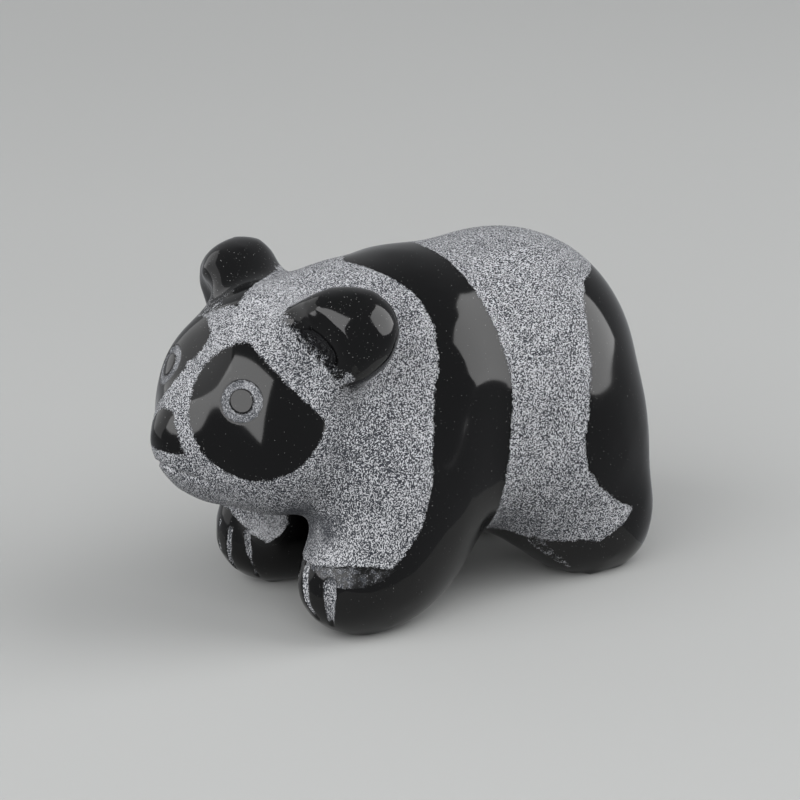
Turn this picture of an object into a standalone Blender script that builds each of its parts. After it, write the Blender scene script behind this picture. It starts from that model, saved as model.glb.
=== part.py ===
"""A small carved stone panda, standing on four feet, as one solid.

It faces -Y with its left side at +X and its soles on Z = 0. The figure is a set of named
ellipsoids that run into one another with soft blends: Blender's Remesh makes one skin
over them, every point of that skin is then drawn onto the blended surface, and the soles
are cut flat. All forms are in parts of the panda's own length, PARTS_LONG parts from the
nose to the tail, so LENGTH alone sets its size.
"""

import bmesh
import bpy
import numpy as np
from mathutils import Euler, Matrix, Vector

LENGTH = 0.0675  # nose to tail, in metres
PARTS_LONG = 67.5
PART = LENGTH / PARTS_LONG  # one part is a millimetre at this length

FIRST_VOXEL = 1.0 * PART  # the fine skin over the separate forms
SKIN_VOXEL = 1.58 * PART  # the skin that is kept
FIRST_PULLS = 6  # times that the fine skin is drawn towards the blended surface
SKIN_PULLS = 2  # times that the kept skin is
SKIN_RELAXES = 5  # times that its points are evened out
LONGEST_PULL = 0.5  # how far one pull may move a point, in parts
SOLE_EDGE = 0.5  # how softly the soles turn up into the paws
SOLE_SNAP = 0.22  # points this close to the ground lie flat on it

FORELEG_OUT = 9.8  # a foreleg's middle from the centre line
FORELEG_STEP = 1.4  # the right foreleg stands this far behind the left

# Each form: centre, radii, turns in degrees about X, Y and Z, and how softly it joins the
# forms before it. A form off the centre line is carved on both sides.
TRUNK = (
    ("barrel", (0.0, 6.0, 25.0), (14.3, 18.0, 17.0), (0, 0, 0), 0.0),
    ("shoulders", (0.0, -6.0, 26.5), (14.5, 9.5, 15.6), (0, 0, 0), 6.0),
    ("rump", (0.0, 13.0, 21.5), (15.3, 13.0, 17.4), (0, 0, 0), 6.0),
    ("belly", (0.0, 2.0, 16.0), (13.3, 16.0, 8.5), (0, 0, 0), 6.0),
    ("neck", (0.0, -14.5, 30.4), (10.0, 9.0, 12.0), (0, 0, 0), 5.0),
)
HIND_LEGS = (
    ("thigh", (8.6, 14.0, 14.0), (7.3, 10.8, 13.0), (0, 0, 0), 0.0),
    ("hind_foot", (8.6, 18.0, 5.2), (6.0, 7.2, 6.6), (0, 0, 0), 4.0),
)
FORELEG = (
    ("upper", (0.0, -11.8, 14.6), (6.8, 11.4, 13.6), (-8, 0, 0), 0.0),
    ("paw", (0.0, -17.3, 6.7), (6.1, 8.5, 6.9), (0, 0, 0), 4.0),
)
HEAD = (
    ("skull", (0.0, -23.6, 28.8), (11.2, 10.8, 12.6), (0, 0, 0), 0.0),
    ("cheek", (6.0, -26.5, 24.0), (6.6, 8.2, 8.2), (0, 0, 0), 5.0),
    ("muzzle", (0.0, -32.6, 25.0), (5.0, 7.3, 6.4), (0, 0, 0), 5.0),
    ("chin", (0.0, -31.0, 21.5), (4.8, 5.0, 4.6), (0, 0, 0), 3.0),
    ("eye_mound", (4.6, -29.0, 30.0), (4.5, 4.8, 5.6), (0, 0, 0), 4.0),
)
EAR = ((10.6, -21.4, 37.4), (5.0, 7.4, 6.1), (20, 0, -30))
EAR_DISH = ((11.3, -29.3, 34.9), (7.0, 6.0, 6.0), (0, 0, 0))
EAR_DISH_EDGE = 1.5
TAIL = ((0.0, 25.0, 20.5), (2.6, 2.6, 3.4), (0, 0, 0))
HIND_JOIN, FORE_JOIN, HEAD_JOIN, EAR_JOIN, TAIL_JOIN = 4.0, 4.0, 4.0, 3.0, 1.5


def turned(degrees):
    return Euler([np.radians(d) for d in degrees], "XYZ").to_matrix()


def reach(points, centre, radii, turn):
    """How far points lie outside an ellipsoid; negative inside."""
    local = points - np.array(centre)
    if any(turn):
        local = local @ np.array(turned(turn))
    radii = np.array(radii)
    near = np.linalg.norm(local / radii, axis=-1) + 1e-9
    slope = np.linalg.norm(local / radii**2, axis=-1) + 1e-9
    return near * (near - 1.0) / slope


def mirrored(centre, turn):
    return (-centre[0], centre[1], centre[2]), (turn[0], -turn[1], -turn[2])


def both(points, centre, radii, turn, softness=2.0):
    """A form and, off the centre line, its twin."""
    one = reach(points, centre, radii, turn)
    if centre[0] == 0.0:
        return one
    return join(one, reach(points, *mirrored(centre, turn)[:1], radii, mirrored(centre, turn)[1]), softness)


def join(a, b, softness):
    """The union of two fields with a soft seam."""
    share = np.clip(0.5 + 0.5 * (b - a) / softness, 0.0, 1.0)
    return b + (a - b) * share - softness * share * (1.0 - share)


def cut(a, b, softness):
    """Field a without what field b fills."""
    return -join(-a, b, softness)


def group(points, forms):
    field = None
    for _, centre, radii, turn, softness in forms:
        form = both(points, centre, radii, turn)
        field = form if field is None else join(field, form, softness)
    return field


def foreleg(points, side):
    """One foreleg: side is 1 for the left and -1 for the right, which stands back."""
    moved = points - np.array((side * FORELEG_OUT, 0.0 if side > 0 else FORELEG_STEP, 0.0))
    moved = moved * np.array((side, 1.0, 1.0))
    field = None
    for _, centre, radii, turn, softness in FORELEG:
        form = reach(moved, centre, radii, turn)
        field = form if field is None else join(field, form, softness)
    return field


def ear_field(points, side):
    moved = points * np.array((side, 1.0, 1.0))
    return cut(reach(moved, *EAR), reach(moved, *EAR_DISH), EAR_DISH_EDGE)


def panda_field(points):
    """The whole figure's field at points given in parts."""
    field = group(points, TRUNK)
    field = join(field, group(points, HIND_LEGS), HIND_JOIN)
    for side in (1.0, -1.0):
        field = join(field, foreleg(points, side), FORE_JOIN)
    field = join(field, group(points, HEAD), HEAD_JOIN)
    for side in (1.0, -1.0):
        field = join(field, ear_field(points, side), EAR_JOIN)
    field = join(field, reach(points, *TAIL), TAIL_JOIN)
    return cut(field, points[:, 2], SOLE_EDGE)


def pulled(points, times):
    """Points moved along the field's slope until they lie on its surface."""
    nudge = 0.02
    for _ in range(times):
        value = panda_field(points)
        slope = np.stack(
            [(panda_field(points + step) - value) / nudge for step in np.eye(3) * nudge],
            axis=-1,
        )
        steep = np.maximum(np.linalg.norm(slope, axis=-1), 0.5)
        move = np.clip(value / steep, -LONGEST_PULL, LONGEST_PULL) / steep
        points = points - slope * move[:, None]
    return points


def placed_forms():
    """Every form with its real centre, radii and turn, both sides."""
    rows = []
    for forms in (TRUNK, HIND_LEGS, HEAD):
        rows += [(name, centre, radii, turn) for name, centre, radii, turn, _ in forms]
    rows += [("ear", *EAR), ("tail", *TAIL)]
    placed = []
    for name, centre, radii, turn in rows:
        placed.append((name, centre, radii, turn))
        if centre[0] != 0.0:
            placed.append((name, mirrored(centre, turn)[0], radii, mirrored(centre, turn)[1]))
    for side, back in ((1.0, 0.0), (-1.0, FORELEG_STEP)):
        for name, centre, radii, turn, _ in FORELEG:
            out = side * (FORELEG_OUT + centre[0])
            placed.append((name, (out, centre[1] + back, centre[2]), radii, turn))
    return placed


def add_forms(collection):
    """One mesh that holds every ellipsoid, at real size."""
    work = bmesh.new()
    for _, centre, radii, turn in placed_forms():
        place = Matrix.LocRotScale(
            Vector(centre) * PART, turned(turn), Vector(radii) * PART
        )
        bmesh.ops.create_icosphere(work, subdivisions=4, radius=1.0, matrix=place)
    mesh = bpy.data.meshes.new("forms")
    work.to_mesh(mesh)
    work.free()
    forms = bpy.data.objects.new("forms", mesh)
    collection.objects.link(forms)
    return forms


def remeshed(source, voxel, name, collection):
    """A single skin over an object, as a new object; the source goes."""
    skin = source.modifiers.new("skin", "REMESH")
    skin.mode = "VOXEL"
    skin.voxel_size = voxel
    bpy.context.view_layer.update()
    graph = bpy.context.evaluated_depsgraph_get()
    mesh = bpy.data.meshes.new_from_object(source.evaluated_get(graph))
    mesh.name = name
    made = bpy.data.objects.new(name, mesh)
    collection.objects.link(made)
    bpy.data.objects.remove(source, do_unlink=True)
    return made


def read_points(mesh):
    flat = np.empty(len(mesh.vertices) * 3)
    mesh.vertices.foreach_get("co", flat)
    return flat.reshape(-1, 3) / PART


def write_points(mesh, points):
    mesh.vertices.foreach_set("co", (points * PART).ravel())
    mesh.update()


def evened(mesh, points):
    """Points moved part of the way to the middle of their neighbours, then drawn back."""
    edges = np.empty(len(mesh.edges) * 2, dtype=np.int64)
    mesh.edges.foreach_get("vertices", edges)
    one, other = edges.reshape(-1, 2).T
    count = np.bincount(edges, minlength=len(points))[:, None]
    for _ in range(SKIN_RELAXES):
        total = np.zeros_like(points)
        np.add.at(total, one, points[other])
        np.add.at(total, other, points[one])
        points = pulled(points + 0.5 * (total / count - points), 1)
    return points


def drawn_skin(mesh):
    """The kept skin: its points evened out on the blended surface, its soles flat."""
    points = pulled(evened(mesh, pulled(read_points(mesh), SKIN_PULLS)), SKIN_PULLS)
    points[points[:, 2] < SOLE_SNAP, 2] = 0.0
    write_points(mesh, points)


def centred(mesh):
    """Moves the mesh so that it stands over the middle of its own outline."""
    points = read_points(mesh)
    low, high = points.min(0), points.max(0)
    points -= np.array(((low[0] + high[0]) / 2, (low[1] + high[1]) / 2, low[2]))
    write_points(mesh, points)


def stone():
    material = bpy.data.materials.new("polished_stone")
    material.use_nodes = True
    shader = material.node_tree.nodes["Principled BSDF"]
    shader.inputs["Base Color"].default_value = (0.012, 0.012, 0.013, 1.0)
    shader.inputs["Metallic"].default_value = 0.0
    shader.inputs["Roughness"].default_value = 0.12
    return material


def build():
    for old in list(bpy.data.objects):
        bpy.data.objects.remove(old, do_unlink=True)
    collection = bpy.data.collections.new("panda")
    bpy.context.scene.collection.children.link(collection)

    first = remeshed(add_forms(collection), FIRST_VOXEL, "first", collection)
    write_points(first.data, pulled(read_points(first.data), FIRST_PULLS))
    panda = remeshed(first, SKIN_VOXEL, "panda", collection)
    drawn_skin(panda.data)
    centred(panda.data)

    work = bmesh.new()
    work.from_mesh(panda.data)
    bmesh.ops.triangulate(work, faces=work.faces[:])
    bmesh.ops.recalc_face_normals(work, faces=work.faces[:])
    work.to_mesh(panda.data)
    work.free()
    panda.data.materials.append(stone())
    for face in panda.data.polygons:
        face.use_smooth = True
    return panda


build()
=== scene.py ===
"""The looks of the carved stone panda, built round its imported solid.

The carving is a copy of the solid's own skin, split finer and eased until its facets are
gone. The eye rings, the mouth, the toe cuts and the flat over the left toes are then cut
into it, and every point is told how far it lies inside the frosted fur or the polished
stone. One stone material reads that distance. Places and sizes in the tables below and in
the zone functions are millimetres: the panda faces -Y, its left side is +X and its soles
are on Z = 0.
"""

import math

import bmesh
import bpy
import numpy as np
from bpy.props import FloatProperty, FloatVectorProperty, IntProperty, PointerProperty
from mathutils import Matrix, Vector


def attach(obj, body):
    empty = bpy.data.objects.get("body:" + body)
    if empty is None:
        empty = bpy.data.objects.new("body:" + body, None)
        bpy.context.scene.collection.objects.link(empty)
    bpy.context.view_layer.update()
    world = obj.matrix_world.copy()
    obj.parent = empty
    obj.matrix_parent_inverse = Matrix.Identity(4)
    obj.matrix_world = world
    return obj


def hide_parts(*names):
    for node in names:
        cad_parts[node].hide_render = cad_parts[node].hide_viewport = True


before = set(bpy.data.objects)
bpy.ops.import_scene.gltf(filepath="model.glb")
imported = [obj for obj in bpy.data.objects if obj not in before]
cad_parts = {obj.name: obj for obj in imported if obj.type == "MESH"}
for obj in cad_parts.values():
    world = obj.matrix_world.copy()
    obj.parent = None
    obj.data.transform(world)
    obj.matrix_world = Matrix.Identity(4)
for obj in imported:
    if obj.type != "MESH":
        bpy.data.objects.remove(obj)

bl_info = {
    "name": "Stone Panda Carving",
    "version": (1, 0, 0),
    "blender": (4, 5, 0),
    "location": "View3D > Sidebar > Panda",
    "description": "Carves, frosts and polishes a small stone panda and sets up its studio",
    "category": "Object",
}

BODY = "root"
NODE = "panda"
CARVING = "panda_carving"
MM = 0.001

FAR = 9.0  # stands for a place well outside a zone
SPINE_HEIGHT = 24.0  # height of the line that the body's zones are measured round
SOLE_HEIGHT = 0.01  # lower points belong to the flat soles, and stay there
# The lower back of each hind leg stands out a little more than on the solid: place, reach
# and amount.
HIND_LEG_SWELL = ((13.6, 28.4, 9.5), 4.5, 0.40)

# Where the polished bands begin and end along Y, by the angle round the body in degrees:
# 0 is the top of the back, 90 the side, and past 120 the legs.
SHOULDER_FRONT = (
    (0, -6.9), (6, -5.8), (13, -4.4), (20, -3.1), (30, -2.0), (41, -1.8), (57, -2.5),
    (71, -3.7), (86, -4.5), (97, -5.3), (106, -5.6), (121, -7.4), (128, -9.8), (133, -12.5),
)
SHOULDER_BACK = (
    (0, 4.5), (14, 5.1), (31, 5.8), (49, 6.5), (69, 7.2), (80, 7.3), (98, 6.8), (129, 5.6),
    (150, 5.0),
)
RUMP_FRONT = (
    (0, 28.3), (10, 27.9), (17, 26.8), (26, 24.9), (31, 23.5), (36, 21.5), (45, 20.0),
    (56, 19.1), (72, 18.4), (88, 17.5), (98, 17.1), (104, 16.5), (116, 17.1), (123, 18.9),
    (130, 21.8), (134, 24.6), (140, 25.2),
)
# The height that the polished feet and underside reach up to, along Y.
FOOT_TOP = (
    (-25, 10.0), (-18.7, 10.0), (-16.2, 10.4), (-14.1, 10.3), (-12.3, 9.7), (-11, 9.9),
    (5, 8.6), (8, 8.2), (9.5, 7.9), (11.7, 7.0), (15.6, 6.1), (17.6, 6.2), (20.2, 5.5),
    (21.8, 6.4), (23.6, 7.3), (24.7, 8.8), (27, 9.4),
)
# The same on the right foreleg, along X + Y: its frost ends in a point on the inner side.
RIGHT_PAW_TOP = (
    (-30, 10.6), (-26.9, 10.5), (-23.5, 8.7), (-20.7, 7.3), (-19.5, 7.0), (-17.3, 8.2),
    (-16.5, 9.3), (-15.3, 9.9), (-14.6, 16.5),
)
# The flat over the left paw's toes, along X + Y: its lower and upper edge.
FLAT_FOOT = ((-9.5, 9.9), (-5.2, 8.1), (-2.7, 7.8), (0.2, 7.6), (2.6, 8.1), (4.0, 8.6), (5.4, 9.4))
FLAT_TOP = ((-9.5, 9.9), (-5.3, 10.4), (-2.0, 10.4), (1.3, 10.3), (4.1, 9.8), (5.4, 9.7))

# The eye patches, in a flat frame that faces along EYE_OUT from EYE_MIDDLE.
EYE_MIDDLE = (9.0, -25.5, 30.0)
EYE_OUT = (0.780, -0.600, 0.180)
EYE_PATCH_RADIUS = 8.0
EYE_PATCH_FLAT = 4.8  # a straight upper back edge, this far from the middle
RIGHT_EYE_LOBE = ((-3.2, 5.3), 3.5)  # the right patch bulges here: middle and radius
# The drilled rings: middle, and the way that each faces.
EYE_RINGS = (
    ((8.3, -27.3, 31.6), (0.61, -0.72, 0.32)),
    ((-5.3, -28.3, 32.4), (-0.25, -0.83, 0.50)),
)
RING_DEEPEST = 3.0  # points further from a ring's plane aren't part of it
RING_WALL = (0.12, 0.16)  # how far a ring's wall slopes, outside the ring's edge and inside it

# The round form of the left ear, which the right one mirrors: middle, radii and turn.
EAR = ((10.6, -15.26, 37.4), (5.0, 7.4, 6.1), (20.0, 0.0, -30.0))
EAR_EDGE = 0.35  # how far the polish runs past the ear's own form
# The rim of the hollow in front of the left ear, which is worn smoother than the rest.
EAR_RIM = (
    (8.6, -20.0, 41.0), (9.5, -19.8, 41.0), (11.3, -19.6, 40.7), (12.3, -18.9, 40.0),
    (13.5, -18.4, 39.1), (14.3, -18.0, 38.3), (14.3, -17.6, 36.6), (14.3, -17.0, 34.8),
)
EAR_RIM_REACH = 1.5
# Where the left ear's polish gives way to frost below it: a place on that line, the way
# that leads out of the ear, and how fast the frost sets in.
LEFT_EAR_FADE = ((8.1, -20.2, 39.4), (-0.282, -0.716, -0.639), 0.20)
LEFT_EAR_TUFT = ((14.2, -16.3, 33.8), 0.7)  # a round bit of frost on its lower edge
# The right ear's polish spreads over the head to a corner between two straight edges.
RIGHT_EAR_CORNER = (0.1, -22.4)
RIGHT_EAR_FRONT = (0.294, -0.956)
RIGHT_EAR_INNER = (0.835, 0.549)
RIGHT_EAR_BACK = -12.0

# The nose's half width, by height.
NOSE_HALF = ((24.6, 3.7), (25.6, 3.3), (27.4, 2.45), (28.4, 1.8), (28.9, 1.4), (29.3, 0.6))
NOSE_TOP, NOSE_FOOT = 29.2, 24.6
# The scribed mouth line on the left cheek, which the right one mirrors.
MOUTH = (
    (0.0, -33.3, 22.6), (1.4, -32.6, 22.2), (2.5, -32.0, 21.9), (3.9, -30.8, 21.4),
    (5.2, -29.6, 20.9),
)
# The painted shade just under it, a dark line where the frost is left out: its stops as (x, y, z,
# half width).
MOUTH_SHADE = (
    (0.2, -33.2, 22.2, 0.14), (1.4, -32.7, 21.75, 0.24), (2.4, -32.1, 21.45, 0.20),
    (3.2, -31.5, 21.2, 0.08),
)
MOUTH_HIGHLIGHT = 0.26  # width of the painted highlight along the mouth line

# Each toe cut: its stops from the top down as (x, y, z, half width).
TOE_CUTS = (
    ((9.3, -18.8, 9.4, 0.55), (9.8, -19.4, 7.5, 0.62), (10.0, -19.3, 6.0, 0.55),
     (10.6, -18.5, 3.6, 0.25), (10.9, -18.2, 2.6, 0.08)),
    ((12.9, -18.1, 8.3, 0.75), (12.9, -18.1, 6.9, 0.80), (12.6, -17.8, 4.8, 0.62),
     (11.9, -17.2, 2.4, 0.22), (11.8, -17.1, 1.7, 0.08)),
    ((-10.7, -17.7, 8.6, 0.26), (-10.7, -17.8, 5.2, 0.22)),
    ((-8.6, -17.8, 8.2, 0.36), (-8.7, -17.8, 6.0, 0.42), (-9.3, -17.2, 3.8, 0.36),
     (-9.6, -16.4, 2.4, 0.14)),
    ((-6.6, -16.7, 8.1, 0.42), (-6.6, -16.4, 5.9, 0.46), (-6.8, -15.8, 4.2, 0.40),
     (-7.4, -14.6, 1.6, 0.14)),
)
# Frosted lines that aren't cut in: beside the flat, and along each forepaw's inner edge.
FROST_LINES = (
    ((9.2, -18.7, 9.9, 0.22), (12.9, -18.1, 8.1, 0.26)),
    ((7.6, -18.9, 9.4, 0.10), (7.7, -19.1, 6.5, 0.14), (7.9, -18.9, 4.6, 0.08)),
    ((-3.2, -14.4, 8.6, 0.14), (-3.6, -14.0, 6.6, 0.06)),
)
# The chipped strip on the left hind leg, where the frost is thin and broken.
CHIPPED = ((11.8, 12.4, 6.6, 0.9), (12.2, 15.0, 3.8, 1.0), (12.2, 17.6, 1.9, 0.4))
# Where the frost is painted lighter or darker: a place, how far it reaches, and how much. The
# neck, head top, forehead and the spot above the flat over the left toes carry painted light. The
# cheek, chin, belly, hip and saddle top carry painted shade. The others make the stipple whiter or
# darker at the eye rings, the right forepaw, the rim of the left ear's hollow and the muzzle.
PAINTED_LIGHT_AND_STIPPLE_PATCHES = (
    ((15.0, -11.0, 33.0), 5.0, 1.60), ((12.5, -13.0, 25.0), 6.0, -1.50),
    ((3.0, -19.0, 41.0), 5.0, 1.00), ((6.5, -23.5, 38.0), 3.5, 0.20),
    ((7.0, 14.0, 42.0), 7.0, -0.10), ((9.0, -24.0, 17.5), 7.0, -0.75),
    ((12.0, 9.0, 8.5), 6.0, -1.20), ((15.0, 16.0, 11.0), 5.0, -0.25),
    ((13.6, -17.2, 11.2), 2.0, 0.70), ((-3.5, -15.5, 9.0), 4.0, 1.20),
    ((8.3, -27.3, 31.6), 3.0, 0.40), ((-5.3, -28.3, 32.4), 3.0, 0.40),
    ((9.0, -19.9, 39.6), 2.0, -1.40), ((11.3, -18.8, 37.8), 2.2, -1.50),
    ((12.9, -17.7, 35.6), 2.0, -1.20), ((5.0, -31.0, 24.0), 3.0, -0.50),
)
# Where the fur is a fine even matte in place of a stipple.
MATTE_PATCHES = (((9.5, -16.5, 14.0), 4.5), ((-3.5, -15.5, 9.5), 6.0), ((9.0, -20.0, 16.5), 3.5))
FINE_MARGIN = 0.8  # the skin is split finer to this far past what is cut into it

# The lights: direction (azimuth, elevation) and turn in degrees, distance, edges across and
# up in metres, the setting with the power, and whether the polish mirrors them.
LIGHTS = (
    ("side_panel", (54.5, 20.8), 12.4, 0.50, (-0.235, 0.235), (-0.205, 0.205), "side_power", True),
    ("front_panel", (-46.5, 24.6), -24.1, 0.80, (-1.40, 0.25), (-0.42, 0.50), "front_power", True),
    ("right_panel", (-145.0, 20.0), 0.0, 0.80, (-0.60, 0.45), (-0.35, 0.40), "right_power", True),
    ("high_panel", (10.0, 60.0), 0.0, 0.80, (-0.30, 0.30), (-0.30, 0.30), "high_power", False),
    ("key_panel", (54.5, 52.0), 0.0, 0.60, (-0.20, 0.20), (-0.20, 0.20), "key_power", False),
)
LIGHTS_AIM = (0.0, 0.0, 0.02)
CAMERA_AIM = (0.0, 0.00114, 0.0233)
CAMERA_LENS, CAMERA_SENSOR = 225.0, 36.0
FLOOR_HALF = 2.5  # half the floor's width in metres
MIRRORED_FLOOR_HALF = 0.032  # the same for the patch of it that the polish mirrors
ROOM_COLOUR, ROOM_STRENGTH = (0.95, 0.97, 1.0, 1.0), 0.36
STONE_IOR = 1.41
FLECK_COLOUR = (0.10, 0.10, 0.098, 1.0)
TICK_HEIGHT, GRIT_HEIGHT = 0.00004, 0.0000008  # relief of the frost and of the polish


def along(pairs, where):
    """The value at each place on a line given as pairs of place and value."""
    table = np.array(pairs, float)
    return np.interp(where, table[:, 0], table[:, 1])


def unit(vector):
    vector = np.array(vector, float)
    return vector / np.linalg.norm(vector)


def on_left(points):
    """The same points, with those of the right side mirrored over to the left."""
    return np.column_stack((np.abs(points[:, 0]), points[:, 1:]))


def face_frame(out):
    """A level sideways direction, an upward one and out itself, on a face that looks along out."""
    out = unit(out)
    side = unit(np.cross((0.0, 0.0, 1.0), out))
    return side, np.cross(out, side), out


def form_reach(points, centre, radii, turn=(0.0, 0.0, 0.0)):
    """How far points lie outside an ellipsoid; negative inside."""
    rotation = np.array(
        Matrix.Rotation(math.radians(turn[2]), 3, "Z")
        @ Matrix.Rotation(math.radians(turn[1]), 3, "Y")
        @ Matrix.Rotation(math.radians(turn[0]), 3, "X")
    )
    local = (points - np.array(centre)) @ rotation
    radii = np.array(radii)
    near = np.linalg.norm(local / radii, axis=-1) + 1e-9
    slope = np.linalg.norm(local / radii**2, axis=-1) + 1e-9
    return near * (near - 1.0) / slope


def round_angle(points):
    """The angle round the body from the top of the back, the same on both sides."""
    return np.degrees(np.arctan2(np.abs(points[:, 0]), points[:, 2] - SPINE_HEIGHT))


def shoulder_zone(points):
    """Below 0 inside the polished band over the shoulders."""
    angle = round_angle(points)
    y = points[:, 1]
    return np.maximum(along(SHOULDER_FRONT, angle) - y, y - along(SHOULDER_BACK, angle))


def rump_zone(points):
    """Below 0 inside the polished rump and hind legs."""
    return 0.8 * (along(RUMP_FRONT, round_angle(points)) - points[:, 1])


def foot_zone(points):
    """Below 0 on the polished feet, paws and underside."""
    x, y, z = points.T
    top = along(FOOT_TOP, y)
    right_paw = (x < 0.0) & (y < -8.0)
    top = np.where(right_paw, along(RIGHT_PAW_TOP, x + y), top)
    inner_leg = np.maximum.reduce((np.abs(x) - 6.2, -13.4 - y, z - 16.5, y - 5.0))
    return np.minimum(z - top, np.where(right_paw, FAR, inner_leg))


def flat_zone(points):
    """(height over its lower edge, height under its upper edge) of the flat over the toes."""
    x, y, z = points.T
    around = x + y
    on_paw = (x > 8.0) & (y < -8.0) & (around > FLAT_TOP[0][0]) & (around < FLAT_TOP[-1][0])
    low = np.where(on_paw, z - along(FLAT_FOOT, around), -FAR)
    return low, np.where(on_paw, along(FLAT_TOP, around) - z, -FAR)


def eye_zone(points):
    """Below 0 inside an eye patch."""
    side, up, out = face_frame(EYE_OUT)
    local = on_left(points) - EYE_MIDDLE
    s, t, depth = local @ side, local @ up, local @ out
    patch = np.maximum(
        np.hypot(s, t) - EYE_PATCH_RADIUS, (s + t) / math.sqrt(2.0) - EYE_PATCH_FLAT
    )
    (lobe_s, lobe_t), lobe_radius = RIGHT_EYE_LOBE
    lobe = np.hypot(s - lobe_s, t - lobe_t) - lobe_radius
    patch = np.where(points[:, 0] > 0.0, patch, np.minimum(patch, lobe))
    return np.where(depth > -8.0, patch, FAR)


def nose_zone(points):
    """Below 0 inside the nose's rounded triangle."""
    x, y, z = points.T
    zone = np.maximum.reduce((
        0.85 * (np.abs(x) - along(NOSE_HALF, z)), z - NOSE_TOP, NOSE_FOOT - z,
    ))
    return np.where(y < -29.0, zone, FAR)


def ear_zone(points):
    """Below 0 on the polished ears. It rises slowly below them, where the polish fades."""
    x, y, z = points.T
    form = form_reach(on_left(points), *EAR) - EAR_EDGE
    place, out, slope = LEFT_EAR_FADE
    left = np.maximum(form, slope * ((points - place) @ np.array(out)))
    tuft, tuft_radius = LEFT_EAR_TUFT
    left = np.maximum(left, tuft_radius - np.linalg.norm(points - tuft, axis=1))
    flat = points[:, :2] - RIGHT_EAR_CORNER
    front = flat @ np.array(RIGHT_EAR_FRONT)
    front = front * (0.06 + 0.94 * smooth_step(x, -3.5, -1.0))
    inner = flat @ np.array(RIGHT_EAR_INNER) - 0.25
    spread = np.maximum.reduce((front, inner, y - RIGHT_EAR_BACK, -12.0 - x, 35.0 - z))
    form = np.maximum(form, np.where(x < 0.0, front, -FAR))
    right = np.minimum(form, spread)
    return np.minimum(np.where(x > 1.0, left, FAR), np.where(x < 2.0, right, FAR))


def ring_reach(points, ring):
    """(distance from the axis of an eye ring, height over its plane)."""
    centre, out = ring
    side, up, out = face_frame(out)
    local = points - np.array(centre)
    return np.hypot(local @ side, local @ up), local @ out


def path_reach(points, stops):
    """Distance to a path of straight lines, less its half width where the stops give one."""
    best = np.full(len(points), np.inf)
    for start, end in zip(stops, stops[1:]):
        first, last = np.array(start[:3]), np.array(end[:3])
        span = last - first
        share = np.clip((points - first) @ span / (span @ span), 0.0, 1.0)
        away = np.linalg.norm(points - first - share[:, None] * span, axis=1)
        if len(start) > 3:
            away = away - (start[3] + (end[3] - start[3]) * share)
        best = np.minimum(best, away)
    return best


def mouth_reach(points):
    """Distance to the mouth line, which is the same on both cheeks."""
    return path_reach(on_left(points), MOUTH)


def smooth_step(value, low, high):
    share = np.clip((value - low) / (high - low), 0.0, 1.0)
    return share * share * (3.0 - 2.0 * share)


def read_points(bm):
    return np.array([vert.co for vert in bm.verts], float) / MM


def read_normals(bm):
    bm.normal_update()
    return np.array([vert.normal for vert in bm.verts], float)


def write_points(bm, points):
    for vert, place in zip(bm.verts, points * MM):
        vert.co = place


def split_faces(bm, near):
    """Splits the edges whose ends both lie where near(points) is true."""
    inside = near(read_points(bm))
    bm.verts.index_update()
    edges = [e for e in bm.edges if inside[e.verts[0].index] and inside[e.verts[1].index]]
    bmesh.ops.subdivide_edges(bm, edges=edges, cuts=1, use_grid_fill=True)
    bmesh.ops.triangulate(bm, faces=[f for f in bm.faces if len(f.verts) > 3])


def fine_area(points):
    """True near the rings, the mouth, the toe cuts and the flat, which need more points."""
    outer = bpy.context.scene.panda_carving.ring_outer / MM
    close = mouth_reach(points) < FINE_MARGIN
    for ring in EYE_RINGS:
        away, height = ring_reach(points, ring)
        close |= (away < outer + FINE_MARGIN) & (np.abs(height) < RING_DEEPEST)
    for stops in TOE_CUTS:
        close |= path_reach(points, stops) < FINE_MARGIN
    low, high = flat_zone(points)
    return close | ((low > -0.3) & (np.abs(high) < FINE_MARGIN))


def spread_out(bm, values, passes):
    """Averages a value over each point's neighbours, many times."""
    ends = np.array([(e.verts[0].index, e.verts[1].index) for e in bm.edges])
    count = np.bincount(ends.ravel(), minlength=len(values))
    for _ in range(passes):
        total = np.bincount(ends[:, 0], values[ends[:, 1]], len(values))
        total += np.bincount(ends[:, 1], values[ends[:, 0]], len(values))
        values = 0.5 * values + 0.5 * total / count
    return values


def ease(bm, verts, passes):
    """Evens out the skin at some of its points, many times."""
    for _ in range(passes):
        bmesh.ops.smooth_vert(
            bm, verts=verts, factor=0.5, use_axis_x=True, use_axis_y=True, use_axis_z=True
        )


def store(bm):
    """Puts a bmesh into the carving's mesh and frees it."""
    mesh = bpy.data.objects[CARVING].data
    bm.to_mesh(mesh)
    bm.free()
    mesh.update()


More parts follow.
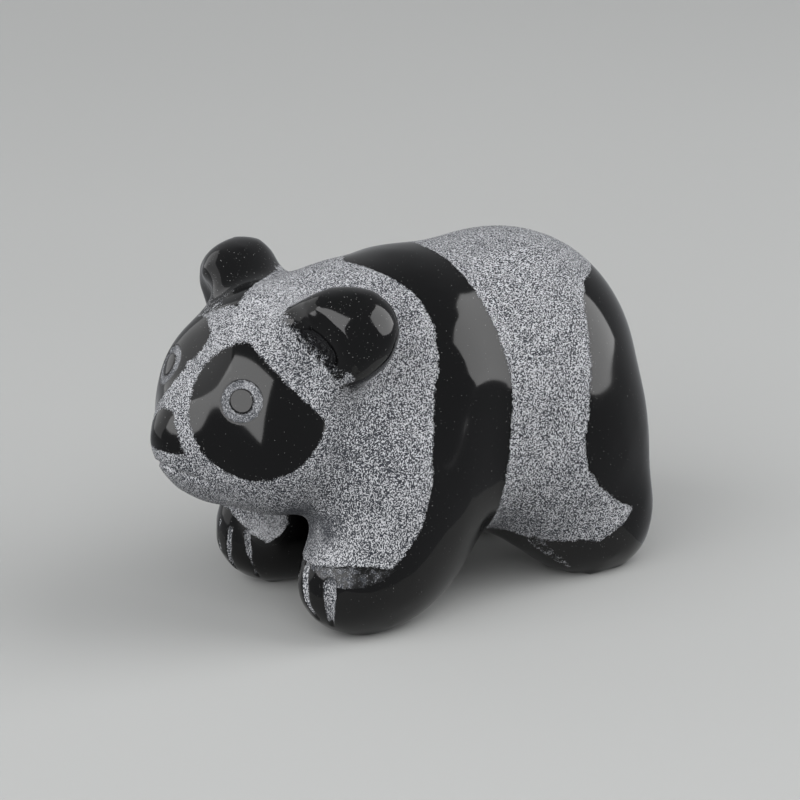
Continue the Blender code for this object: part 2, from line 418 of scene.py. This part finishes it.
class PandaCarvingSettings(bpy.types.PropertyGroup):
    """Sizes of what is cut into the stone."""

    splits: IntProperty(
        name="Splits",
        description="How many times the solid's facets are split before they are eased",
        default=2, min=1, max=2,
    )
    easings: IntProperty(
        name="Easings",
        description="How many times the split skin is eased, until the facets are gone",
        default=70, min=0, max=80,
    )
    rim_easings: IntProperty(
        name="Ear rim easings",
        description="How many more times the rim of the hollow in the left ear is eased",
        default=45, min=0, max=200,
    )
    ring_outer: FloatProperty(
        name="Eye ring radius",
        description="Outer radius of the ring that is drilled round each eye",
        default=0.00246, unit="LENGTH", precision=5,
    )
    ring_inner: FloatProperty(
        name="Eye radius",
        description="Radius of the polished eye left inside the ring",
        default=0.00148, unit="LENGTH", precision=5,
    )
    ring_depth: FloatProperty(
        name="Eye ring depth",
        description="Depth of the drilled ring",
        default=0.00022, unit="LENGTH", precision=5,
    )
    mouth_width: FloatProperty(
        name="Mouth width",
        description="Width of the scribed mouth line",
        default=0.0006, unit="LENGTH", precision=5,
    )
    mouth_depth: FloatProperty(
        name="Mouth depth",
        description="Depth of the scribed mouth line",
        default=0.00030, unit="LENGTH", precision=5,
    )
    flat_depth: FloatProperty(
        name="Flat depth",
        description="How far the flat over the left toes is set in under the frosted leg",
        default=0.00035, unit="LENGTH", precision=5,
    )
    toe_depth: FloatProperty(
        name="Toe cut depth",
        description="Depth of the cuts between the toes",
        default=0.00045, unit="LENGTH", precision=5,
    )


class PandaStoneSettings(bpy.types.PropertyGroup):
    """Colours and grain of the stone."""

    polish_colour: FloatVectorProperty(
        name="Polished stone",
        description="Body colour of the polished stone",
        default=(0.0008, 0.0008, 0.0009), size=3, subtype="COLOR", min=0.0, max=1.0,
    )
    polish_roughness: FloatProperty(
        name="Polish roughness",
        description="Roughness of the polished stone",
        default=0.09, subtype="FACTOR", min=0.0, max=1.0,
    )
    frost_light: FloatVectorProperty(
        name="Frost, crushed grain",
        description="Colour of the bruised white grain in the frosted fur",
        default=(0.365, 0.370, 0.385), size=3, subtype="COLOR", min=0.0, max=1.0,
    )
    frost_dark: FloatVectorProperty(
        name="Frost, between grains",
        description="Colour of the stone left between the white grains",
        default=(0.009, 0.011, 0.016), size=3, subtype="COLOR", min=0.0, max=1.0,
    )
    coverage: FloatProperty(
        name="Frost coverage",
        description="How white the frosted fur is on the whole",
        default=0.44, subtype="FACTOR", min=0.0, max=1.0,
    )
    contrast: FloatProperty(
        name="Frost contrast",
        description="How much the ticks of the frost stand out from the stone between them",
        default=12.5, min=0.0, max=20.0,
    )
    grain: FloatProperty(
        name="Frost grain",
        description="Size of the frosted grain",
        default=0.00013, unit="LENGTH", precision=5,
    )
    ragged: FloatProperty(
        name="Ragged edge",
        description="How far the frost's hand-worked edge wanders",
        default=0.0005, unit="LENGTH", precision=5,
    )


class PandaStudioSettings(bpy.types.PropertyGroup):
    """The floor, the light and the camera."""

    floor_colour: FloatVectorProperty(
        name="Floor",
        description="Colour of the plain floor",
        default=(0.280, 0.283, 0.279), size=3, subtype="COLOR", min=0.0, max=1.0,
    )
    camera_azimuth: FloatProperty(
        name="Camera azimuth",
        description="Where the camera stands round the panda, from its front",
        default=math.radians(54.5), subtype="ANGLE",
    )
    camera_elevation: FloatProperty(
        name="Camera elevation",
        description="How far the camera looks down",
        default=math.radians(20.0), subtype="ANGLE",
    )
    camera_distance: FloatProperty(
        name="Camera distance",
        description="From the camera to the point that it looks at",
        default=0.600, unit="LENGTH",
    )
    side_power: FloatProperty(
        name="Side light",
        description="Power of the large soft light beside the panda",
        default=2.1, unit="POWER",
    )
    front_power: FloatProperty(
        name="Front light",
        description="Power of the large soft light behind the camera",
        default=19.3, unit="POWER",
    )
    right_power: FloatProperty(
        name="Right light",
        description="Power of the soft light on the panda's right",
        default=2.0, unit="POWER",
    )
    key_power: FloatProperty(
        name="Key light",
        description="Power of the soft light above the side light, which casts the shadow",
        default=1.5, unit="POWER",
    )
    high_power: FloatProperty(
        name="High light",
        description="Power of the soft light high above the panda",
        default=1.3, unit="POWER",
    )


class PANDA_OT_carving(bpy.types.Operator):
    """Makes the smooth body of the carving from the solid's own skin"""

    bl_idname = "panda.carving"
    bl_label = "Carve the body"
    bl_options = {"REGISTER", "UNDO"}

    def execute(self, context):
        settings = context.scene.panda_carving
        bm = bmesh.new()
        bm.from_mesh(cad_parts[NODE].data)
        bmesh.ops.remove_doubles(bm, verts=bm.verts, dist=1e-6)
        for _ in range(settings.splits):
            bmesh.ops.subdivide_edges(bm, edges=bm.edges[:], cuts=1, use_grid_fill=True)
        bmesh.ops.triangulate(bm, faces=[f for f in bm.faces if len(f.verts) > 3])
        split = read_points(bm)
        ease(bm, [vert for vert in bm.verts if vert.co.z > SOLE_HEIGHT * MM], settings.easings)
        # easing draws the form in a little, so that much is given back
        bm.verts.index_update()
        eased, normals = read_points(bm), read_normals(bm)
        lost = spread_out(bm, np.sum((split - eased) * normals, axis=1), settings.easings)
        place, reach, amount = HIND_LEG_SWELL
        away = np.linalg.norm(on_left(eased) - place, axis=1) / reach
        lost += amount * np.exp(-away * away)
        lost[split[:, 2] < SOLE_HEIGHT] = 0.0
        given = eased + normals * lost[:, None]
        given[:, 2] = np.maximum(given[:, 2], 0.0)
        write_points(bm, given)
        near_rim = path_reach(given, EAR_RIM) < EAR_RIM_REACH
        ease(bm, [vert for vert in bm.verts if near_rim[vert.index]], settings.rim_easings)
        mesh = bpy.data.meshes.new(CARVING)
        piece = bpy.data.objects.new(CARVING, mesh)
        context.scene.collection.objects.link(piece)
        store(bm)
        piece.data.shade_smooth()
        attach(piece, BODY)
        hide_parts(NODE)
        return {"FINISHED"}


class PANDA_OT_relief(bpy.types.Operator):
    """Cuts the eye rings, the mouth and the toes into the carving"""

    bl_idname = "panda.relief"
    bl_label = "Cut the face and paws"
    bl_options = {"REGISTER", "UNDO"}

    def execute(self, context):
        settings = context.scene.panda_carving
        bm = bmesh.new()
        bm.from_mesh(bpy.data.objects[CARVING].data)
        split_faces(bm, fine_area)
        points, normals = read_points(bm), read_normals(bm)
        sunk = np.zeros(len(points))
        inner, outer = settings.ring_inner / MM, settings.ring_outer / MM
        for ring in EYE_RINGS:
            away, height = ring_reach(points, ring)
            groove = smooth_step(away, inner - RING_WALL[0], inner + RING_WALL[1])
            groove *= 1.0 - smooth_step(away, outer - RING_WALL[1], outer + RING_WALL[0])
            groove[np.abs(height) >= RING_DEEPEST] = 0.0
            sunk = np.maximum(sunk, groove * settings.ring_depth / MM)
        mouth = 1.0 - smooth_step(mouth_reach(points), 0.05, settings.mouth_width / MM)
        sunk = np.maximum(sunk, mouth * settings.mouth_depth / MM)
        for stops in TOE_CUTS:
            cut = 1.0 - smooth_step(path_reach(points, stops), -0.25, 0.12)
            deep = min(settings.toe_depth / MM, max(stop[3] for stop in stops))
            sunk = np.maximum(sunk, cut * deep)
        low, high = flat_zone(points)
        step = smooth_step(high, -0.05, 0.15) * smooth_step(low, 0.0, 2.0)
        sunk = np.maximum(sunk, step * settings.flat_depth / MM)
        write_points(bm, points - normals * sunk[:, None])
        store(bm)
        return {"FINISHED"}


class PANDA_OT_fur(bpy.types.Operator):
    """Marks how far each point lies inside the frosted fur or the polished stone"""

    bl_idname = "panda.fur"
    bl_label = "Lay out the fur"
    bl_options = {"REGISTER", "UNDO"}

    def execute(self, context):
        settings = context.scene.panda_carving
        mesh = bpy.data.objects[CARVING].data
        points = np.empty(len(mesh.vertices) * 3, np.float32)
        mesh.vertices.foreach_get("co", points)
        points = points.reshape(-1, 3).astype(float) / MM
        edge = np.minimum.reduce((
            shoulder_zone(points), rump_zone(points), foot_zone(points),
            eye_zone(points), nose_zone(points),
        ))
        frost = np.minimum(edge, ear_zone(points))
        inner, outer = settings.ring_inner / MM, settings.ring_outer / MM
        matte = np.zeros(len(points))
        for ring in EYE_RINGS:
            away, height = ring_reach(points, ring)
            band = (outer - inner) / 2.0 - np.abs(away - (outer + inner) / 2.0)
            band = np.where(np.abs(height) < RING_DEEPEST, band, -FAR)
            frost = np.maximum(frost, 2.0 * band)
            matte = np.maximum(matte, (band > -0.2) * 1.0)
        low, high = flat_zone(points)
        on_flat = np.minimum(low, high) > 0.0
        thin = 0.03 - 0.010 * np.clip(points[:, 0] + points[:, 1] + 8.0, 0.0, 14.0)
        frost = np.where(on_flat, thin, frost)
        for stops in TOE_CUTS + FROST_LINES:
            frost = np.maximum(frost, -3.0 * path_reach(points, stops))
        frost = np.where(path_reach(points, CHIPPED) < 0.0, -0.06, frost)
        # painted shade: a dark line under the mouth, where the frost is taken away
        frost = np.minimum(frost, 2.0 * path_reach(on_left(points), MOUTH_SHADE) + 0.05)
        for place, reach in MATTE_PATCHES:
            away = np.linalg.norm(points - place, axis=1) / reach
            matte = np.maximum(matte, 1.0 - smooth_step(away, 0.4, 1.2))
        matte = np.maximum(matte, smooth_step(np.minimum(low, high), -0.1, 0.2))
        # the stipple is denser along its edges, a painted highlight runs along the mouth, and the
        # patches paint light and shade onto the frost here and there
        white = 0.30 * (1.0 - smooth_step(edge, 0.2, 1.4)) * (edge > 0.0) - 0.5 * on_flat
        # a painted highlight along the mouth line
        white += 1.3 * np.exp(-(mouth_reach(points) / MOUTH_HIGHLIGHT) ** 2)
        # painted light on the frost's upper parts and painted shade under the cheek, chin and
        # belly, patch by patch
        for place, reach, amount in PAINTED_LIGHT_AND_STIPPLE_PATCHES:
            away = np.linalg.norm(points - place, axis=1) / reach
            white += amount * np.exp(-away * away)
        for name, values in (("frost", frost), ("white", white), ("matte", matte)):
            layer = mesh.attributes.new(name, "FLOAT", "POINT")
            layer.data.foreach_set("value", np.clip(values, -4.0, 4.0).astype(np.float32))
        return {"FINISHED"}


class Nodes:
    """Small helper that adds and links shader nodes."""

    def __init__(self, material):
        self.tree = material.node_tree
        self.tree.nodes.clear()

    def add(self, kind, values=None, **settings):
        node = self.tree.nodes.new(kind)
        for key, value in settings.items():
            setattr(node, key, value)
        for key, value in (values or {}).items():
            if isinstance(value, bpy.types.NodeSocket):
                self.tree.links.new(value, node.inputs[key])
            else:
                node.inputs[key].default_value = value
        return node

    def math(self, operation, first, second=0.0, clamp=False):
        node = self.add("ShaderNodeMath", {0: first, 1: second}, operation=operation)
        node.use_clamp = clamp
        return node.outputs[0]

    def remap(self, value, low, high, to_low=0.0, to_high=1.0):
        node = self.add(
            "ShaderNodeMapRange",
            {
                "Value": value, "From Min": low, "From Max": high,
                "To Min": to_low, "To Max": to_high,
            },
        )
        return node.outputs[0]

    def noise(self, place, scale, detail=2.0, rough=0.5):
        node = self.add(
            "ShaderNodeTexNoise",
            {"Vector": place, "Scale": scale, "Detail": detail, "Roughness": rough},
        )
        return node.outputs["Fac"]

    def stretch(self, place, scale):
        return self.add("ShaderNodeMapping", {"Vector": place, "Scale": scale}).outputs[0]

    def blend(self, share, first, second):
        node = self.add("ShaderNodeMix", data_type="FLOAT")
        for key, value in ((0, share), (2, first), (3, second)):
            self.tree.links.new(value, node.inputs[key])
        return node.outputs[0]

    def mix(self, share, first, second):
        node = self.add("ShaderNodeMix", data_type="RGBA")
        for key, value in ((0, share), (6, first), (7, second)):
            if isinstance(value, bpy.types.NodeSocket):
                self.tree.links.new(value, node.inputs[key])
            else:
                node.inputs[key].default_value = value
        return node.outputs[2]


def stone_material(settings):
    """Black stone, polished or stippled by the distance that each point carries."""
    material = bpy.data.materials.new("polished_and_frosted_stone")
    material.use_nodes = True
    nodes = Nodes(material)
    place = nodes.add("ShaderNodeTexCoord").outputs["Object"]
    frost = nodes.add("ShaderNodeAttribute", attribute_name="frost").outputs["Fac"]
    white = nodes.add("ShaderNodeAttribute", attribute_name="white").outputs["Fac"]
    matte = nodes.add("ShaderNodeAttribute", attribute_name="matte").outputs["Fac"]
    grain = 1.0 / settings.grain

    # the edge of the frost wanders by hand and breaks up into single ticks
    wander = nodes.math("SUBTRACT", nodes.noise(place, 0.17 * grain, 1.0), 0.5)
    broken = nodes.math("SUBTRACT", nodes.noise(place, 0.9 * grain, 2.0, 0.7), 0.5)
    edge = nodes.math("ADD", nodes.math("MULTIPLY", wander, 1.2 * settings.ragged / MM),
                      nodes.math("MULTIPLY", broken, 1.8 * settings.ragged / MM))
    frosted = nodes.remap(nodes.math("ADD", frost, edge), -0.03, 0.04)

    # short crushed ticks over dark stone, struck along the body or down it by turns
    lengthways = nodes.noise(nodes.stretch(place, (1.0, 0.5, 1.0)), grain, 1.5, 0.7)
    downways = nodes.noise(nodes.stretch(place, (1.0, 1.0, 0.5)), grain, 1.5, 0.7)
    turn = nodes.remap(nodes.noise(place, 0.12 * grain, 1.0), 0.46, 0.54)
    ticks = nodes.math("SUBTRACT", nodes.blend(turn, lengthways, downways), 0.5)
    cloudy = nodes.math("SUBTRACT", nodes.noise(place, 0.055 * grain, 3.0), 0.5)
    bold = nodes.remap(matte, 0.0, 1.0, settings.contrast, 0.2 * settings.contrast)
    level = nodes.math("MULTIPLY", ticks, bold)
    level = nodes.math("ADD", level, nodes.math("MULTIPLY", cloudy, 0.90))
    # the white attribute carries the painted light, the painted shade and the painted highlight
    # along the mouth
    level = nodes.math("ADD", level, nodes.math("MULTIPLY", white, 0.3))
    level = nodes.math("ADD", level, settings.coverage, clamp=True)
    struck = nodes.math("POWER", level, 2.0)
    fur = nodes.mix(struck, (*settings.frost_dark, 1.0), (*settings.frost_light, 1.0))

    # stray pale flecks in the polish, more of them near the frost
    near_frost = nodes.remap(frost, -1.6, 0.0, 0.0, 0.06)
    fleck = nodes.math("ADD", nodes.noise(place, 0.8 * grain, 0.0), near_frost)
    fleck = nodes.remap(fleck, 0.83, 0.87)
    polish = nodes.mix(fleck, (*settings.polish_colour, 1.0), FLECK_COLOUR)
    colour = nodes.mix(frosted, polish, fur)

    # the polish is a little uneven, and duller where it is matte
    hazy, gloss = nodes.noise(place, 0.02 * grain, 2.0), settings.polish_roughness
    sheen = nodes.remap(hazy, 0.3, 0.7, gloss * 0.85, gloss * 1.2)
    sheen = nodes.math("MULTIPLY", sheen, nodes.remap(matte, 0.4, 1.0, 1.0, 3.5))
    rough = nodes.blend(frosted, sheen, nodes.remap(struck, 0.0, 0.6, 0.75, 0.85))

    # the ticks stand rough in the frost, and the polish keeps a trace of the last grit
    ticked = nodes.math("MULTIPLY", nodes.math("MULTIPLY", struck, frosted), TICK_HEIGHT)
    grit = nodes.math("MULTIPLY", nodes.noise(place, 0.8 * grain, 1.0), GRIT_HEIGHT)
    relief = nodes.math("ADD", ticked, grit)
    bump = nodes.add("ShaderNodeBump", {"Height": relief, "Strength": 0.7, "Distance": 1.0})
    shader = nodes.add(
        "ShaderNodeBsdfPrincipled",
        {"Base Color": colour, "Roughness": rough, "Normal": bump.outputs[0], "IOR": STONE_IOR},
    )
    output = nodes.add("ShaderNodeOutputMaterial")
    nodes.tree.links.new(shader.outputs[0], output.inputs[0])
    return material


class PANDA_OT_finish(bpy.types.Operator):
    """Gives the carving its polished and frosted stone"""

    bl_idname = "panda.finish"
    bl_label = "Polish and frost the stone"
    bl_options = {"REGISTER", "UNDO"}

    def execute(self, context):
        piece = bpy.data.objects[CARVING]
        piece.data.materials.clear()
        piece.data.materials.append(stone_material(context.scene.panda_stone))
        return {"FINISHED"}


def soft_light(name, direction, lean, distance, span, rise, power):
    """A rectangular light, square to a direction from the panda, as a row of LIGHTS gives it."""
    azimuth, elevation = (math.radians(value) for value in direction)
    out = Vector((
        math.cos(azimuth) * math.cos(elevation),
        math.sin(azimuth) * math.cos(elevation),
        math.sin(elevation),
    ))
    side, up = (Vector(value) for value in face_frame(out)[:2])
    turn = Matrix.Rotation(math.radians(lean), 3, out)
    across, along_up = turn @ side, turn @ up
    lamp = bpy.data.lights.new(name, "AREA")
    lamp.shape = "RECTANGLE"
    lamp.size, lamp.size_y = span[1] - span[0], rise[1] - rise[0]
    lamp.energy = power
    light = bpy.data.objects.new(name, lamp)
    light.location = (
        out * distance + Vector(LIGHTS_AIM)
        + across * (span[0] + span[1]) / 2.0 + along_up * (rise[0] + rise[1]) / 2.0
    )
    light.rotation_euler = Matrix((across, along_up, out)).transposed().to_euler()
    bpy.context.scene.collection.objects.link(light)
    return light


def floor_material(settings):
    """A plain matte floor, a little cloudy."""
    material = bpy.data.materials.new("plain_floor")
    material.use_nodes = True
    nodes = Nodes(material)
    place = nodes.add("ShaderNodeTexCoord").outputs["Object"]
    cloud = nodes.remap(nodes.noise(place, 6.0, 2.0), 0.3, 0.7, 0.985, 1.015)
    tone = nodes.add(
        "ShaderNodeVectorMath", {0: (*settings.floor_colour,), "Scale": cloud}, operation="SCALE"
    )
    shader = nodes.add(
        "ShaderNodeBsdfPrincipled", {"Base Color": tone.outputs[0], "Roughness": 0.85}
    )
    output = nodes.add("ShaderNodeOutputMaterial")
    nodes.tree.links.new(shader.outputs[0], output.inputs[0])
    return material


class PANDA_OT_studio(bpy.types.Operator):
    """Lays the plain floor and sets the soft lights and the camera"""

    bl_idname = "panda.studio"
    bl_label = "Set up the studio"
    bl_options = {"REGISTER", "UNDO"}

    def execute(self, context):
        settings = context.scene.panda_studio
        material = floor_material(settings)
        # a small patch under the panda is seen in its polish, and the wide floor round it isn't
        for name, seen in (("studio_floor", False), ("studio_floor_patch", True)):
            bm = bmesh.new()
            bmesh.ops.create_grid(bm, x_segments=1, y_segments=1, size=FLOOR_HALF)
            bmesh.ops.inset_individual(
                bm, faces=bm.faces[:], thickness=FLOOR_HALF - MIRRORED_FLOOR_HALF,
                use_even_offset=True,
            )
            patch = min(bm.faces, key=lambda face: face.calc_area())
            others = [face for face in bm.faces if (face is patch) != seen]
            bmesh.ops.delete(bm, geom=others, context="FACES")
            mesh = bpy.data.meshes.new(name)
            bm.to_mesh(mesh)
            bm.free()
            floor = bpy.data.objects.new(name, mesh)
            context.scene.collection.objects.link(floor)
            floor.data.materials.append(material)
            floor.visible_glossy = seen

        for *placing, power, mirrored in LIGHTS:
            soft_light(*placing, getattr(settings, power)).visible_glossy = mirrored

        context.scene.view_settings.view_transform = "Standard"
        world = bpy.data.worlds.new("dim_room")
        world.use_nodes = True
        background = world.node_tree.nodes["Background"]
        background.inputs["Color"].default_value = ROOM_COLOUR
        background.inputs["Strength"].default_value = ROOM_STRENGTH
        context.scene.world = world

        azimuth, elevation = settings.camera_azimuth, settings.camera_elevation
        toward = Vector((
            math.sin(azimuth) * math.cos(elevation),
            -math.cos(azimuth) * math.cos(elevation),
            math.sin(elevation),
        ))
        lens = bpy.data.cameras.new("photo_camera")
        lens.lens, lens.sensor_width = CAMERA_LENS, CAMERA_SENSOR
        lens.clip_start, lens.clip_end = 0.01, 20.0
        camera = bpy.data.objects.new("photo_camera", lens)
        camera.location = Vector(CAMERA_AIM) + toward * settings.camera_distance
        camera.rotation_euler = toward.to_track_quat("Z", "Y").to_euler()
        context.scene.collection.objects.link(camera)
        context.scene.camera = camera
        return {"FINISHED"}


STEPS = (
    PANDA_OT_carving, PANDA_OT_relief, PANDA_OT_fur, PANDA_OT_finish, PANDA_OT_studio,
)
GROUPS = (
    ("panda_carving", PandaCarvingSettings),
    ("panda_stone", PandaStoneSettings),
    ("panda_studio", PandaStudioSettings),
)


class PANDA_PT_sidebar(bpy.types.Panel):
    """Lists the sizes, colours and steps of the carving"""

    bl_idname = "PANDA_PT_sidebar"
    bl_label = "Stone Panda"
    bl_space_type = "VIEW_3D"
    bl_region_type = "UI"
    bl_category = "Panda"

    def draw(self, context):
        for attribute, group in GROUPS:
            box = self.layout.box()
            for name in group.__annotations__:
                box.prop(getattr(context.scene, attribute), name)
        for step in STEPS:
            self.layout.operator(step.bl_idname)


def register():
    for attribute, group in GROUPS:
        bpy.utils.register_class(group)
        setattr(bpy.types.Scene, attribute, PointerProperty(type=group))
    for step in (*STEPS, PANDA_PT_sidebar):
        bpy.utils.register_class(step)


def unregister():
    for step in (PANDA_PT_sidebar, *reversed(STEPS)):
        bpy.utils.unregister_class(step)
    for attribute, group in reversed(GROUPS):
        delattr(bpy.types.Scene, attribute)
        bpy.utils.unregister_class(group)


def main():
    register()
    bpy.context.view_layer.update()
    bpy.ops.panda.carving()
    bpy.ops.panda.relief()
    bpy.ops.panda.fur()
    bpy.ops.panda.finish()
    bpy.ops.panda.studio()


if __name__ == "__main__":
    main()
